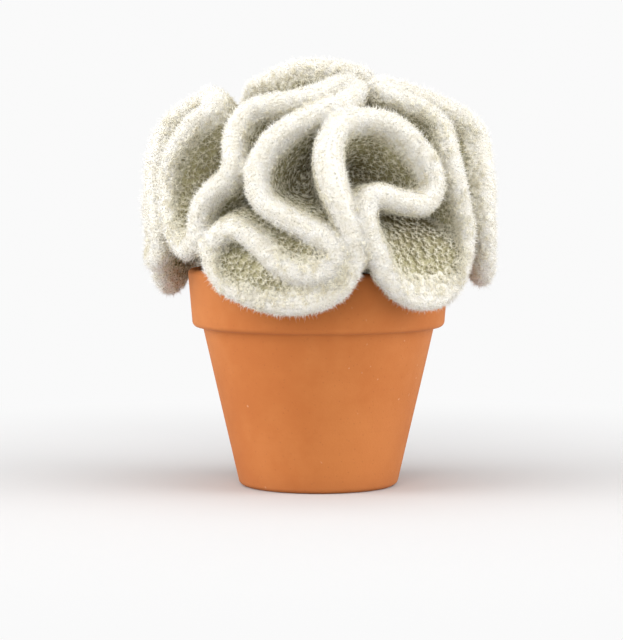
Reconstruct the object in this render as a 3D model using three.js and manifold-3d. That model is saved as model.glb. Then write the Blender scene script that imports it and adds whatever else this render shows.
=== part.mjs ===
// Potted crested lady finger cactus: a clay flowerpot, its potting soil, and one grown cactus whose single
// long crest is folded into a mound of ruffles. Millimetres, +Z up, origin under the pot's centre, front at -Y.
import * as THREE from "three";
import { ConvexGeometry } from "three/addons/geometries/ConvexGeometry.js";
import { mergeVertices } from "three/addons/utils/BufferGeometryUtils.js";
import Module from "manifold-3d";

const wasm = await Module();
wasm.setup();

// Driving dimensions
const POT_HEIGHT = 100;
const RIM_RADIUS = 60;
const COLLAR_HEIGHT = 26;
const COLLAR_FOOT_RADIUS = 58;
const BODY_TOP_RADIUS = 53.4;
const FOOT_RADIUS = 36.3;
const RIM_WALL = 5.2;
const BODY_WALL = 4.4;
const POT_FLOOR = 6;
const DRAIN_RADIUS = 7;
const POT_SIDES = 56;

const SOIL_LEVEL = 89;
const SOIL_GAP = 0.35;
const SOIL_SIDES = 40;
const SOIL_RELIEF = 0.9;

const NECK_RADIUS = 22;
const NECK_FOOT = 72;
const CORE = { radius: 50, up: 41, height: 118, sides: 36 };
// Radius and height of the flesh that fills the pot's mouth
const SWELL = [[40, 92], [47, 95.5], [50, 100], [54.5, 103.5], [55, 107], [52, 113]];
const MOUND = { radius: 79.5, up: 70.5, down: 80, height: 122, fullness: 0.8 };
const REST_GAP = 0.4;

const CREST_HALF_WIDTH = 4.3;
const ROOT_HALF_WIDTH = 4.8;
const TUBERCLE_RELIEF = 0.6;
const LONGEST_STEP = 16;
const STEP_TURN = 62;
const FOLD_SMOOTHING = 15;
const ROOT_SPREAD = 0.8;
const ROOT_LOWEST = 84;
const ROOT_SINK = 3;
const DROOP_FROM = 88;
const DROOP_FULL = 112;
const DROOP_OUT = 5;
const DROOP_UP = 15;

const SPINE_LENGTH = 4.2;
const SPINE_WIDTH = 0.8;
const SPINE_ROOT = 1.3;
const SPINE_JITTER = 0.5;
const SPINE_SEED = 46;

// The crest line, as directions from the mound's middle: degrees round from the front towards +X, degrees down
// from the top, and where a lobe stands out of the mound, by how much. It runs round once: the front folds first,
// then the right side, the back and the left.
const CREST_LINE = [
  // left front fold, over the top and back
  [-52, 46, 1], [-56, 56, 3], [-62, 69, 2], [-65, 80], [-62, 89], [-56, 94], [-50, 97], [-45, 93],
  [-44, 88], [-40, 83], [-33, 78], [-31, 72], [-33, 64], [-34, 55], [-30, 45], [-15, 41], [0, 35],
  [16, 26], [23, 31], [12, 42],
  // the S in the middle and the curl below it
  [2, 47], [-6, 52], [-14, 58], [-20, 67], [-22, 77], [-20, 84], [-14, 88], [-4, 91], [3, 94], [6, 99],
  [1, 103], [-7, 103], [-14, 100], [-20, 95], [-25, 92], [-31, 91], [-37, 94], [-39, 99], [-35, 106],
  [-25, 111], [-13, 114], [-1, 113], [8, 108], [12, 99], [11, 92], [7, 87], [4, 80], [2, 70],
  // the arch, its tongue, the right front pocket and the fold behind the arch
  [4, 60], [10, 53], [21, 51], [31, 55], [38, 64], [43, 74], [43, 81], [38, 86], [28, 85], [20, 83],
  [16, 85], [16, 91], [19, 97], [22, 104], [30, 111], [42, 113], [53, 109], [59, 100], [60, 92], [57, 86],
  [55, 76], [55, 66], [58, 55], [52, 46], [44, 40], [37, 33], [44, 26, -1], [60, 29, -1], [69, 38],
  [78, 45, 1],
  // right side
  [88, 52, 4], [91, 62, 6], [84, 72, 3], [78, 81, 3], [75, 89, 3], [76, 95, 3], [80, 103, 2], [88, 107],
  [96, 105], [99, 98], [95, 92], [90, 89], [90, 84], [96, 78], [104, 80], [110, 86], [112, 91], [111, 98],
  [114, 106], [122, 110], [129, 105], [130, 97], [126, 91], [121, 86], [115, 77], [108, 71, 2],
  [104, 62, 3], [107, 51, 2], [112, 38], [120, 30], [134, 27], [149, 33],
  // back, and over the top
  [149, 43], [143, 61, 2], [136, 71, 2], [137, 80], [144, 86], [147, 91], [142, 96], [138, 104],
  [143, 111], [152, 112], [159, 107], [160, 99], [163, 92], [164, 87], [159, 80], [154, 72], [156, 63],
  [164, 58, 2], [172, 62], [176, 72], [178, 82], [177, 90], [174, 95], [174, 103], [179, 109], [-171, 112],
  [-163, 109], [-160, 101], [-163, 94], [-166, 89], [-164, 82], [-160, 73], [-161, 62, 2], [-168, 53],
  [-178, 44], [168, 28], [150, 21], [128, 15], [82, 11], [20, 6, 3], [-60, 7, 2], [-108, 15, -2],
  [-128, 25, -1], [-139, 34],
  // left side
  [-144, 52], [-146, 65], [-143, 75], [-147, 84], [-151, 90], [-148, 95], [-149, 104], [-144, 110],
  [-135, 112], [-129, 106], [-130, 99], [-134, 93], [-133, 88], [-127, 83], [-124, 76, 1], [-127, 66, 2],
  [-125, 56, 2], [-117, 52, 2], [-110, 59, 3], [-109, 71, 2], [-113, 80], [-117, 87], [-115, 92],
  [-118, 99], [-119, 106], [-112, 111], [-103, 109], [-99, 103], [-101, 95, 1], [-98, 88, 2], [-91, 85, 2],
  [-86, 89, 1], [-84, 96], [-79, 101], [-73, 100], [-71, 93], [-75, 86, 1], [-79, 79, 2], [-83, 71, 3],
  [-88, 62, 4], [-91, 52, 3], [-92, 42, 1], [-85, 36], [-75, 37, -1], [-66, 41, -2], [-58, 40],
];

// Solids

const MERGE_DISTANCE = 1e-3;

function solidFrom(geometry) {
  const bare = geometry.clone();
  bare.deleteAttribute("normal");
  bare.deleteAttribute("uv");
  const merged = mergeVertices(bare, MERGE_DISTANCE);
  const mesh = new wasm.Mesh({
    numProp: 3,
    vertProperties: new Float32Array(merged.attributes.position.array),
    triVerts: new Uint32Array(merged.index.array),
  });
  return new wasm.Manifold(mesh);
}

function geometryFrom(solid) {
  const mesh = solid.getMesh();
  const geometry = new THREE.BufferGeometry();
  geometry.setAttribute("position", new THREE.BufferAttribute(mesh.vertProperties, 3));
  geometry.setIndex(new THREE.BufferAttribute(mesh.triVerts, 1));
  geometry.computeVertexNormals();
  return geometry;
}

function joinAll(solids) {
  let row = solids;
  while (row.length > 1) {
    const next = [];
    for (let i = 0; i < row.length; i += 2) {
      next.push(i + 1 < row.length ? row[i].add(row[i + 1]) : row[i]);
    }
    row = next;
  }
  return row[0];
}

// The one body that counts: loose scraps are dropped, and hollows that joining sealed are filled. The second
// pass is for hollows that only touch the rest at a point, which come apart once the vertices are merged.
function largestBody(solid) {
  const largest = (bodies) => bodies.reduce((best, body) => (body.volume() > best.volume() ? body : best));
  const first = largest(solid.decompose());
  return largest(solidFrom(geometryFrom(first)).decompose());
}

// A solid of revolution about Z from [radius, height] pairs that run up the outside and down the inside.
function turned(profile, sides) {
  const points = profile.map(([radius, height]) => new THREE.Vector2(radius, height));
  return new THREE.LatheGeometry(points, sides).rotateX(Math.PI / 2);
}

function seededRandom(seed) {
  let state = seed >>> 0;
  return () => {
    state = (state + 0x6d2b79f5) >>> 0;
    let t = state;
    t = Math.imul(t ^ (t >>> 15), t | 1);
    t ^= t + Math.imul(t ^ (t >>> 7), t | 61);
    return ((t ^ (t >>> 14)) >>> 0) / 4294967296;
  };
}

// Clay pot

function bodyRadiusAt(height) {
  const collarFoot = POT_HEIGHT - COLLAR_HEIGHT;
  return FOOT_RADIUS + ((BODY_TOP_RADIUS - FOOT_RADIUS) * height) / collarFoot;
}

function innerRadiusAt(height) {
  const collarFoot = POT_HEIGHT - COLLAR_HEIGHT;
  if (height <= collarFoot) return bodyRadiusAt(height) - BODY_WALL;
  const lowRadius = BODY_TOP_RADIUS - BODY_WALL;
  const topRadius = RIM_RADIUS - RIM_WALL;
  return lowRadius + ((topRadius - lowRadius) * (height - collarFoot)) / COLLAR_HEIGHT;
}

function potGeometry() {
  const collarFoot = POT_HEIGHT - COLLAR_HEIGHT;
  return turned(
    [
      [DRAIN_RADIUS, 0],
      [FOOT_RADIUS - 1.6, 0],
      [bodyRadiusAt(1.4), 1.4],
      [bodyRadiusAt(collarFoot - 1.2), collarFoot - 1.2],
      [COLLAR_FOOT_RADIUS - 1.2, collarFoot - 0.6],
      [COLLAR_FOOT_RADIUS, collarFoot + 0.8],
      [RIM_RADIUS, POT_HEIGHT - 1.8],
      [RIM_RADIUS - 0.9, POT_HEIGHT - 0.3],
      [RIM_RADIUS - 1.9, POT_HEIGHT],
      [RIM_RADIUS - RIM_WALL + 1.2, POT_HEIGHT],
      [innerRadiusAt(POT_HEIGHT - 1), POT_HEIGHT - 1],
      [innerRadiusAt(collarFoot), collarFoot],
      [innerRadiusAt(POT_FLOOR + 3), POT_FLOOR + 3],
      [innerRadiusAt(POT_FLOOR) - 3, POT_FLOOR],
      [DRAIN_RADIUS, POT_FLOOR],
      [DRAIN_RADIUS, 0],
    ],
    POT_SIDES,
  );
}

// The rim's outline grown by the resting gap, which the cactus is cut back to.
function rimClearance() {
  const low = POT_HEIGHT - COLLAR_HEIGHT - 8;
  return solidFrom(
    turned(
      [
        [innerRadiusAt(low) - REST_GAP, low],
        [COLLAR_FOOT_RADIUS + REST_GAP, low],
        [RIM_RADIUS + REST_GAP, POT_HEIGHT - 1.6],
        [RIM_RADIUS - 0.5, POT_HEIGHT + 0.1],
        [RIM_RADIUS - 1.7, POT_HEIGHT + REST_GAP],
        [RIM_RADIUS - RIM_WALL + 0.9, POT_HEIGHT + REST_GAP],
        [innerRadiusAt(POT_HEIGHT - 1) - REST_GAP, POT_HEIGHT - 0.8],
        [innerRadiusAt(low) - REST_GAP, low],
      ],
      POT_SIDES,
    ),
  );
}

// Potting soil, with the plain hole that the cactus's neck stands in

function soilGeometry() {
  const wallAt = (height) => innerRadiusAt(height) - SOIL_GAP;
  const collarFoot = POT_HEIGHT - COLLAR_HEIGHT;
  const hole = NECK_RADIUS + SOIL_GAP;
  const geometry = turned(
    [
      [0, POT_FLOOR + SOIL_GAP],
      [wallAt(POT_FLOOR) - 3.2, POT_FLOOR + SOIL_GAP],
      [wallAt(POT_FLOOR + 3), POT_FLOOR + 3.2],
      [wallAt(collarFoot), collarFoot],
      [wallAt(SOIL_LEVEL - 3), SOIL_LEVEL - 3],
      [46, SOIL_LEVEL - 1.6],
      [40, SOIL_LEVEL - 1],
      [34, SOIL_LEVEL - 0.8],
      [28, SOIL_LEVEL - 0.6],
      [hole, SOIL_LEVEL - 0.5],
      [hole, NECK_FOOT - SOIL_GAP],
      [0, NECK_FOOT - SOIL_GAP],
    ],
    SOIL_SIDES,
  );
  const position = geometry.attributes.position;
  for (let i = 0; i < position.count; i += 1) {
    const x = position.getX(i);
    const y = position.getY(i);
    const radius = Math.hypot(x, y);
    const onTop = position.getZ(i) > SOIL_LEVEL - 2;
    if (onTop && radius > 27) {
      const lump = Math.sin(x * 0.9 + 2.1) * Math.cos(y * 0.8) + 0.6 * Math.sin(x * 0.37 - y * 0.53);
      position.setZ(i, position.getZ(i) + SOIL_RELIEF * (0.5 * lump - 0.5));
    }
  }
  return geometry;
}

// Cactus

// The mound is a squared-off ellipsoid: its fullness, below 1, brings its shoulders out.
function signedPower(value, power) {
  return Math.sign(value) * Math.abs(value) ** power;
}

function onMound(round, down, out = 0) {
  const a = THREE.MathUtils.degToRad(round);
  const p = THREE.MathUtils.degToRad(down);
  const rise = down <= 90 ? MOUND.up : MOUND.down;
  const radius = MOUND.radius * Math.sin(p) ** MOUND.fullness;
  const height = rise * signedPower(Math.cos(p), MOUND.fullness);
  const point = new THREE.Vector3(radius * Math.sin(a), -radius * Math.cos(a), height);
  point.setLength(point.length() + out);
  point.z += MOUND.height;
  return point;
}

function downAngle(point) {
  const rise = point.z >= MOUND.height ? MOUND.up : MOUND.down;
  const flat = (Math.hypot(point.x, point.y) / MOUND.radius) ** (1 / MOUND.fullness);
  const height = signedPower((point.z - MOUND.height) / rise, 1 / MOUND.fullness);
  return THREE.MathUtils.radToDeg(Math.atan2(flat, height));
}

// Where the fold under a crest point grows from: the crest line evened out, drawn in to the core.
function rootPoint(evened) {
  const down = Math.min(downAngle(evened) * ROOT_SPREAD, ROOT_LOWEST);
  const p = THREE.MathUtils.degToRad(down);
  const round = Math.atan2(evened.x, -evened.y);
  const radius = (CORE.radius - ROOT_SINK) * Math.sin(p);
  const height = CORE.height + (CORE.up - ROOT_SINK) * Math.cos(p);
  return new THREE.Vector3(radius * Math.sin(round), -radius * Math.cos(round), height);
}

function evenedOut(points, index) {
  const sum = new THREE.Vector3();
  let total = 0;
  const reach = 12;
  for (let k = -reach; k <= reach; k += 1) {
    const other = points[(index + k + points.length) % points.length];
    const distance = other.distanceTo(points[index]) / FOLD_SMOOTHING;
    const weight = Math.exp(-distance * distance);
    sum.addScaledVector(other, weight);
    total += weight;
  }
  return sum.divideScalar(total);
}

// Points along the crest line, closer together where it turns.
function crestPoints() {
  const curve = new THREE.CatmullRomCurve3(
    CREST_LINE.map(([round, down, out]) => onMound(round, down, out)), true, "centripetal",
  );
  const fine = curve.getPoints(CREST_LINE.length * 12);
  const points = [fine[0]];
  let used = 0;
  for (let i = 1; i < fine.length - 1; i += 1) {
    const here = fine[i].clone().sub(fine[i - 1]);
    const next = fine[i + 1].clone().sub(fine[i]);
    used += here.length() / LONGEST_STEP + THREE.MathUtils.radToDeg(here.angleTo(next)) / STEP_TURN;
    if (used >= 1) {
      points.push(fine[i]);
      used = 0;
    }
  }
  if (used < 0.5) points.pop();
  return points;
}

// The fold's middle surface: for each crest point, a curve from the crest (share 0) to its root (share 1).
function foldCurves() {
  const crest = crestPoints();
  return crest.map((tip, i) => {
    const root = rootPoint(evenedOut(crest, i));
    const droop = THREE.MathUtils.smoothstep(downAngle(tip), DROOP_FROM, DROOP_FULL);
    const outward = new THREE.Vector3(tip.x, tip.y, 0).normalize();
    const bend = tip.clone().lerp(root, 0.5).addScaledVector(outward, DROOP_OUT * droop);
    bend.z += DROOP_UP * droop;
    return new THREE.QuadraticBezierCurve3(tip, bend, root);
  });
}

// Shares of the way from crest to root, and the fold's half thickness there.
const FOLD_ROWS = [
  { share: 0.05, half: 0.74 * CREST_HALF_WIDTH, relief: 0 },
  { share: 0.16, half: CREST_HALF_WIDTH, relief: 0.7 },
  { share: 0.5, half: CREST_HALF_WIDTH, relief: 1 },
  { share: 1, half: ROOT_HALF_WIDTH, relief: 0 },
];

// For every crest sample: its tip, and the points of the left and right faces from the tip down to the root.
function foldSections(curves) {
  const count = curves.length;
  return curves.map((curve, i) => {
    const before = curves[(i - 1 + count) % count];
    const after = curves[(i + 1) % count];
    const section = { tip: curve.getPoint(0), left: [], right: [] };
    FOLD_ROWS.forEach(({ share, half, relief }, row) => {
      const middle = curve.getPoint(share);
      const along = after.getPoint(share).sub(before.getPoint(share));
      const inward = curve.getTangent(share);
      const side = along.cross(inward).normalize();
      const bump = relief * TUBERCLE_RELIEF * ((i + row) % 2 ? 1 : -1);
      section.left.push(middle.clone().addScaledVector(side, half + bump));
      section.right.push(middle.clone().addScaledVector(side, -half - bump));
    });
    return section;
  });
}

// The fold between two neighbouring sections: the crest, then one cell between each pair of rows.
function foldCells(a, b) {
  const cells = [[a.tip, b.tip, a.left[0], a.right[0], b.left[0], b.right[0]]];
  for (let row = 1; row < a.left.length; row += 1) {
    cells.push([a, b].flatMap((s) => [s.left[row - 1], s.right[row - 1], s.left[row], s.right[row]]));
  }
  return cells.map((corners) => solidFrom(new ConvexGeometry(corners)));
}

// A three-sided needle whose root is sunk into the flesh.
function needle(base, direction, length) {
  const across = new THREE.Vector3(direction.y, -direction.x, 0.3).cross(direction).normalize();
  const other = across.clone().cross(direction).normalize();
  const foot = base.clone().addScaledVector(direction, -SPINE_ROOT);
  const corners = [0, 1, 2].map((k) => {
    const angle = (k * 2 * Math.PI) / 3;
    const reach = SPINE_WIDTH * 0.6;
    return foot.clone()
      .addScaledVector(across, reach * Math.cos(angle))
      .addScaledVector(other, reach * Math.sin(angle));
  });
  return solidFrom(new ConvexGeometry([...corners, base.clone().addScaledVector(direction, length)]));
}

// One needle on each shoulder of the crest between two sections, alternately near the tip and lower down. Each
// stands in the middle of a facet.
function spines(curves, sections) {
  const random = seededRandom(SPINE_SEED);
  const jitter = () => (random() - 0.5) * SPINE_JITTER;
  const found = [];
  sections.forEach((section, i) => {
    const after = sections[(i + 1) % sections.length];
    const outward = curves[i].getTangent(0).negate();
    ["left", "right"].forEach((name, k) => {
      const row = (i + k) % 2;
      const above = (s) => (row ? s[name][row - 1] : s.tip);
      const corners = name === "left"
        ? [above(section), section[name][row], after[name][row]]
        : [section[name][row], above(section), above(after)];
      const base = corners[0].clone().add(corners[1]).add(corners[2]).divideScalar(3);
      const sideways = section[name][1].clone().sub(section[k ? "left" : "right"][1]).normalize();
      const direction = outward.clone().addScaledVector(sideways, 0.5 + 0.6 * row);
      direction.add(new THREE.Vector3(jitter(), jitter(), jitter())).normalize();
      found.push(needle(base, direction, SPINE_LENGTH * (0.8 + 0.4 * random())));
    });
  });
  return found;
}

// The neck in the soil, the flesh that swells out of the pot's mouth and over its edge, and the dome above it.
function coreSolid() {
  const profile = [[0, NECK_FOOT], [NECK_RADIUS, NECK_FOOT], [NECK_RADIUS, SOIL_LEVEL + SOIL_GAP], ...SWELL];
  for (const down of [80, 60, 40, 20, 0]) {
    const p = THREE.MathUtils.degToRad(down);
    profile.push([CORE.radius * Math.sin(p), CORE.height + CORE.up * Math.cos(p)]);
  }
  return solidFrom(turned(profile, CORE.sides));
}

function cactusGeometry() {
  const curves = foldCurves();
  const sections = foldSections(curves);
  const folds = sections.flatMap((section, i) => foldCells(section, sections[(i + 1) % sections.length]));
  const body = joinAll([...folds, ...spines(curves, sections)]).add(coreSolid());
  return geometryFrom(largestBody(body.subtract(rimClearance())));
}

// Materials

const clay = new THREE.MeshStandardMaterial({ color: 0xc9773f, roughness: 0.85, metalness: 0 });
const pottingSoil = new THREE.MeshStandardMaterial({ color: 0x3b2a1e, roughness: 0.95, metalness: 0 });
const cactusSkin = new THREE.MeshStandardMaterial({ color: 0xd9d6c4, roughness: 0.8, metalness: 0 });

// Assembly

function piece(name, geometry, material) {
  const mesh = new THREE.Mesh(geometry, material);
  mesh.name = name;
  return mesh;
}

const pottedCactus = new THREE.Group();
pottedCactus.add(
  piece("clay_pot", potGeometry(), clay),
  piece("potting_soil", soilGeometry(), pottingSoil),
  piece("crested_cactus", cactusGeometry(), cactusSkin),
);

export default pottedCactus;
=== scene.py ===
"""Potted crested lady finger cactus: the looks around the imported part. The photograph is taken from -Y."""

import math

import bmesh
import bpy
import numpy as np
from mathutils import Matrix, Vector
from mathutils.bvhtree import BVHTree
from mathutils.kdtree import KDTree


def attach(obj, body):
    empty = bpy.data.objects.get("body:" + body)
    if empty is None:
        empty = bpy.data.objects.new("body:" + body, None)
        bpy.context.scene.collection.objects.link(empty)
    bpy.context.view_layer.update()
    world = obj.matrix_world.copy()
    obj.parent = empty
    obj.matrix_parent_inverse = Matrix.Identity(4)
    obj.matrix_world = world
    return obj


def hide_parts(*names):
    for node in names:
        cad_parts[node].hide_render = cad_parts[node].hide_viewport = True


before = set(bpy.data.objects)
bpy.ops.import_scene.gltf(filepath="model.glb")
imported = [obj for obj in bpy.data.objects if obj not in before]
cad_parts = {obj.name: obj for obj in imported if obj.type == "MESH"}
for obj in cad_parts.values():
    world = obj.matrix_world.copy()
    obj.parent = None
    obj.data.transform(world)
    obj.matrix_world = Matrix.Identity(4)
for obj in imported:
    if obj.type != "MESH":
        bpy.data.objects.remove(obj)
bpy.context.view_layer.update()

MM = 0.001

# Clay pot, as in the part's source, in millimetres
POT_HEIGHT = 100.0
RIM_RADIUS = 60.0
COLLAR_FOOT = 74.0
COLLAR_FOOT_RADIUS = 58.0
BODY_TOP_RADIUS = 53.4
FOOT_RADIUS = 36.3
RIM_WALL = 5.2
BODY_WALL = 4.4
POT_FLOOR = 6.0
DRAIN_RADIUS = 7.0

# Potting soil
SOIL_LEVEL = 89.0
SOIL_GAP = 0.35
HOLE_GAP = 1.0

# Cactus
NECK_RADIUS = 22.0
NECK_FOOT = 72.0
HOLE_RADIUS = NECK_RADIUS + HOLE_GAP
CORE_RADIUS = 50.0
CORE_UP = 41.0
CORE_HEIGHT = 118.0
SWELL = ((40, 92), (47, 95.5), (50, 100), (54.5, 103.5), (55, 107), (52, 113))
MOUND_RADIUS = 79.5
MOUND_UP = 70.5
MOUND_DOWN = 80.0
MOUND_HEIGHT = 122.0
MOUND_FULLNESS = 0.8
CREST_HALF_WIDTH = 4.3
ROOT_HALF_WIDTH = 4.8
LONGEST_STEP = 16.0
STEP_TURN = 62.0
FOLD_SMOOTHING = 15.0
SMOOTHED_OVER = 12
ROOT_SPREAD = 0.8
ROOT_LOWEST = 84.0
ROOT_SINK = 3.0
DROOP_FROM = 88.0
DROOP_FULL = 112.0
DROOP_OUT = 5.0
DROOP_UP = 15.0

# The crest line, as directions from the mound's middle: degrees round from the front towards +X, degrees down
# from the top, and by how many millimetres a lobe stands out of the mound. It runs round once.
CREST_LINE = (
    # left front fold, over the top and back
    (-52, 46, 1), (-56, 56, 3), (-62, 69, 2), (-65, 80), (-62, 89), (-56, 94), (-50, 97), (-45, 93),
    (-44, 88), (-40, 83), (-33, 78), (-31, 72), (-33, 64), (-34, 55), (-30, 45), (-15, 41), (0, 35),
    (16, 26), (23, 31), (12, 42),
    # the S in the middle and the curl below it
    (2, 47), (-6, 52), (-14, 58), (-20, 67), (-22, 77), (-20, 84), (-14, 88), (-4, 91), (3, 94), (6, 99),
    (1, 103), (-7, 103), (-14, 100), (-20, 95), (-25, 92), (-31, 91), (-37, 94), (-39, 99), (-35, 106),
    (-25, 111), (-13, 114), (-1, 113), (8, 108), (12, 99), (11, 92), (7, 87), (4, 80), (2, 70),
    # the arch, its tongue, the right front pocket and the fold behind the arch
    (4, 60), (10, 53), (21, 51), (31, 55), (38, 64), (43, 74), (43, 81), (38, 86), (28, 85), (20, 83),
    (16, 85), (16, 91), (19, 97), (22, 104), (30, 111), (42, 113), (53, 109), (59, 100), (60, 92), (57, 86),
    (55, 76), (55, 66), (58, 55), (52, 46), (44, 40), (37, 33), (44, 26, -1), (60, 29, -1), (69, 38),
    (78, 45, 1),
    # right side
    (88, 52, 4), (91, 62, 6), (84, 72, 3), (78, 81, 3), (75, 89, 3), (76, 95, 3), (80, 103, 2), (88, 107),
    (96, 105), (99, 98), (95, 92), (90, 89), (90, 84), (96, 78), (104, 80), (110, 86), (112, 91), (111, 98),
    (114, 106), (122, 110), (129, 105), (130, 97), (126, 91), (121, 86), (115, 77), (108, 71, 2),
    (104, 62, 3), (107, 51, 2), (112, 38), (120, 30), (134, 27), (149, 33),
    # back, and over the top
    (149, 43), (143, 61, 2), (136, 71, 2), (137, 80), (144, 86), (147, 91), (142, 96), (138, 104),
    (143, 111), (152, 112), (159, 107), (160, 99), (163, 92), (164, 87), (159, 80), (154, 72), (156, 63),
    (164, 58, 2), (172, 62), (176, 72), (178, 82), (177, 90), (174, 95), (174, 103), (179, 109), (-171, 112),
    (-163, 109), (-160, 101), (-163, 94), (-166, 89), (-164, 82), (-160, 73), (-161, 62, 2), (-168, 53),
    (-178, 44), (168, 28), (150, 21), (128, 15), (82, 11), (20, 6, 3), (-60, 7, 2), (-108, 15, -2),
    (-128, 25, -1), (-139, 34),
    # left side
    (-144, 52), (-146, 65), (-143, 75), (-147, 84), (-151, 90), (-148, 95), (-149, 104), (-144, 110),
    (-135, 112), (-129, 106), (-130, 99), (-134, 93), (-133, 88), (-127, 83), (-124, 76, 1), (-127, 66, 2),
    (-125, 56, 2), (-117, 52, 2), (-110, 59, 3), (-109, 71, 2), (-113, 80), (-117, 87), (-115, 92),
    (-118, 99), (-119, 106), (-112, 111), (-103, 109), (-99, 103), (-101, 95, 1), (-98, 88, 2), (-91, 85, 2),
    (-86, 89, 1), (-84, 96), (-79, 101), (-73, 100), (-71, 93), (-75, 86, 1), (-79, 79, 2), (-83, 71, 3),
    (-88, 62, 4), (-91, 52, 3), (-92, 42, 1), (-85, 36), (-75, 37, -1), (-66, 41, -2), (-58, 40),
)

# Fold surface
CURVE_STEPS = 12
CREST_SPACING = 1.2
CAP_TURNS = (18, 36, 54, 72, 90)
WALL_ROWS = 9
FRAME_REACH = 4
BODY_VOXEL = 1.9
BODY_SMOOTHING = 4
CORE_SIDES = 96

# Areoles: spacing along a row, how far apart the rows are, and how far each strays from its row
CREST_AREOLES = 1.9
CREST_ROWS = 1.75
WALL_AREOLES = 3.1
WALL_ROW_STEP = 2.8
AREOLE_JITTER = 0.8
JITTER_SHARES = (0.4, 1.35)
JITTER_DEPTH = 10.0
BARE_ON_CREST = 1.8
BARE_ON_WALL = 2.6
LOWEST_AREOLE = 2.5
TUBERCLE_RADIUS = 1.7
TUBERCLE_HEIGHT = 1.1
TUBERCLE_SIDES = 5
TUBERCLE_SINK = 0.35
DEEPEST_AREOLE = 60.0

# How far down from the crest line the white reaches before the skin shows
WHITE_REACH = 4.6
WHITE_FADE = 11.0
LEAST_WHITE = 1.6
# Faces where it reaches further or less far: place along the crest, face, how far along, how much further
BROAD_WHITES = (
    (3.5, 1, 2.2, -4.0), (24.0, 1, 2.5, 2.5), (29.5, 1, 1.5, -3.5), (31.0, -1, 1.5, -3.0),
    (36.0, 1, 2.0, -5.0), (38.5, 1, 1.2, -3.0), (42.5, 1, 1.2, -3.5), (43.8, -1, 1.0, -5.0),
    (46.0, -1, 2.0, 5.0), (52.0, -1, 3.0, 1.0), (52.5, 1, 1.5, -4.5), (55.5, 1, 1.5, -2.5),
    (60.0, -1, 1.5, -3.0), (65.5, 1, 2.0, -3.5), (70.5, 1, 1.5, -7.0),
)
# Where the crest is broader on one face: place along it, face, how far along, share of its half width
BROAD_CRESTS = ((46.6, -1, 2.0, 0.65),)

# Depth below the crest that flesh between the folds counts as
CORE_DEPTH = 34.0

SPINE_SEED = 46
SPINES_PER_PIECE = 45000

# Areoles on the body: how far the skin may be from an areole's own place, and how far it may lean away
SETTLE_REACH = 1.9
SETTLE_FACING = 0.35
# An areole counts as buried between folds where every way out of it meets skin within this
OPEN_REACH = 18.0
# Gaps to the pot's rim, for areoles and for the two ends of their spines
RIM_TO_AREOLE = 1.2
RIM_TO_FOOT = 0.6
RIM_TO_TIP = 0.1

# Where below the white the stars of the upper kind begin and end, and how far those borders stray
UPPER_BAND = (1.0, 9.0)
BORDER_STRAY = 3.0

# Stars: how many spines, their length and width, how far they stand up off the skin and how much that varies
CREST_STAR = (7, 2.4, 0.34, 30, 13)
CREST_CENTRE = (1, 3.2, 0.24, 66, 14)
UPPER_STAR = (7, 2.6, 0.38, 17, 11)
LOWER_STAR = (6, 2.4, 0.38, 15, 10)
SPINE_SINK = 0.5
SPINE_FOOT_OUT = 0.2
STAR_ON_TUBERCLE = 0.85
LIFT_LIMITS = (4, 88)
TURN_VARIES = 0.3
LENGTH_VARIES = (0.75, 1.2)
SIZE_VARIES = (0.85, 1.15)

# Depth below the crest where painted shade starts to darken the skin in the valleys, and over which it does
VALLEY_SHADE_FROM = 20.0
VALLEY_SHADE_OVER = 20.0

# Turning and grit
POT_TURNING_SIDES = 192
SOIL_SIDES = 144
GRIT_STONES = 260

# Studio: the camera's place, its tilt in degrees and its focal length in the photograph's pixels
CAMERA_PLACE = (-0.0032, -1.15, 0.154)
CAMERA_TILT = 3.88
CAMERA_FOCUS = 2500
PHOTO_HEIGHT = 640
# Softboxes: name, place, the height they are turned to, width, height and power
SOFTBOXES = (
    ("left_softbox", (-1.25, -0.35, 0.55), 0.1, 0.9, 1.2, 16),
    ("right_softbox", (1.25, -0.35, 0.55), 0.1, 0.9, 1.2, 15),
    ("top_softbox", (0, -0.3, 1.4), 0.1, 1.4, 1.4, 11),
    ("front_softbox", (-0.2, -1.7, 0.9), 0.12, 1.2, 0.9, 11),
)
ROOM_LIGHT = 0.5
BACKDROP_WHITE = 0.955
FLOOR_RINGS = (60, 120, 200, 320, 500, 800, 1300, 2200, 4000)
FLOOR_SIDES = 96

random = np.random.default_rng(SPINE_SEED)


# Meshes

def mesh_of(name, points, faces):
    """A mesh from points in millimetres and faces that all have the same number of corners."""
    faces = np.asarray(faces, np.int32)
    mesh = bpy.data.meshes.new(name)
    mesh.vertices.add(len(points))
    mesh.vertices.foreach_set("co", (np.asarray(points) * MM).astype(np.float32).ravel())
    mesh.loops.add(faces.size)
    mesh.loops.foreach_set("vertex_index", faces.ravel())
    mesh.polygons.add(len(faces))
    mesh.polygons.foreach_set("loop_start", np.arange(0, faces.size, faces.shape[1], dtype=np.int32))
    mesh.update(calc_edges=True)
    return mesh


def placed(name, data):
    piece = bpy.data.objects.new(name, data)
    bpy.context.scene.collection.objects.link(piece)
    return piece


def built(name, points, faces):
    return placed(name, mesh_of(name, points, faces))


def smooth_shaded(mesh):
    mesh.polygons.foreach_set("use_smooth", np.ones(len(mesh.polygons), bool))


def values_of(collection, name, width, kind=np.float32):
    values = np.zeros(len(collection) * width, kind)
    collection.foreach_get(name, values)
    return values.reshape(-1, width)


def points_of(mesh):
    return values_of(mesh.vertices, "co", 3).astype(float) / MM


def edges_of(mesh):
    return values_of(mesh.edges, "vertices", 2, np.int32)


def unit(vectors):
    return vectors / np.maximum(np.linalg.norm(vectors, axis=-1, keepdims=True), 1e-9)


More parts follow.
